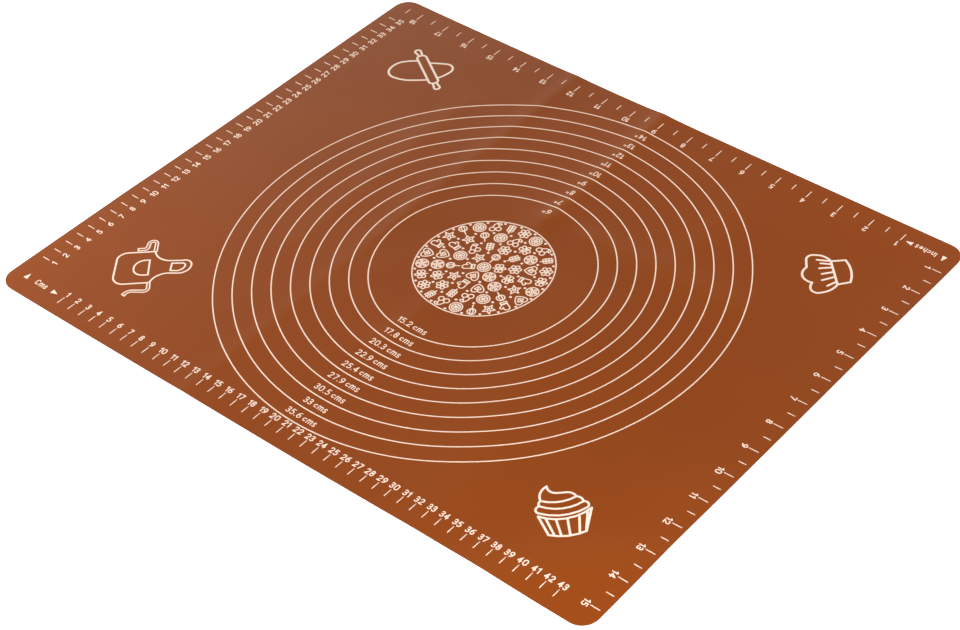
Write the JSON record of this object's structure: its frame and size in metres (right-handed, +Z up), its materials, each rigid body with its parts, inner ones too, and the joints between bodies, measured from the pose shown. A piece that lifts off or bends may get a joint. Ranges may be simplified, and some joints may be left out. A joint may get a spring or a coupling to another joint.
{
  "type": "silicone baking mat",
  "caption": "Thin flat silicone pastry mat with rounded corners, printed with guide circles, centimetre and inch rulers along its edges, corner kitchen pictures and a centre medallion.",
  "frame": {"origin": "middle of the sheet's underside, on the worktop", "axes": "+X along the front edge, which carries the longer centimetre scale, +Y from the front to the back, +Z up out of the printed face"},
  "size_m": [0.5, 0.4, 0.0009],
  "materials": {
    "silicone_sheet": "satin brown silicone rubber",
    "white_ink": "matte white silicone ink"
  },
  "bodies": {
    "root": {"mat_sheet": "silicone_sheet", "apron_picture": "white_ink", "back_inch_figures": "white_ink", "back_inch_ticks": "white_ink", "centre_medallion": "white_ink", "chef_hat_picture": "white_ink", "cm_legend": "white_ink", "cupcake_picture": "white_ink", "front_cm_figures": "white_ink", "front_cm_ticks": "white_ink", "guide_ring_06_inch": "white_ink", "guide_ring_07_inch": "white_ink", "guide_ring_08_inch": "white_ink", "guide_ring_09_inch": "white_ink", "guide_ring_10_inch": "white_ink", "guide_ring_11_inch": "white_ink", "guide_ring_12_inch": "white_ink", "guide_ring_13_inch": "white_ink", "guide_ring_14_inch": "white_ink", "inch_legend": "white_ink", "left_cm_figures": "white_ink", "left_cm_ticks": "white_ink", "right_inch_figures": "white_ink", "right_inch_ticks": "white_ink", "ring_labels_cm": "white_ink", "ring_labels_inch": "white_ink", "rolling_pin_picture": "white_ink"}
  },
  "joints": []
}
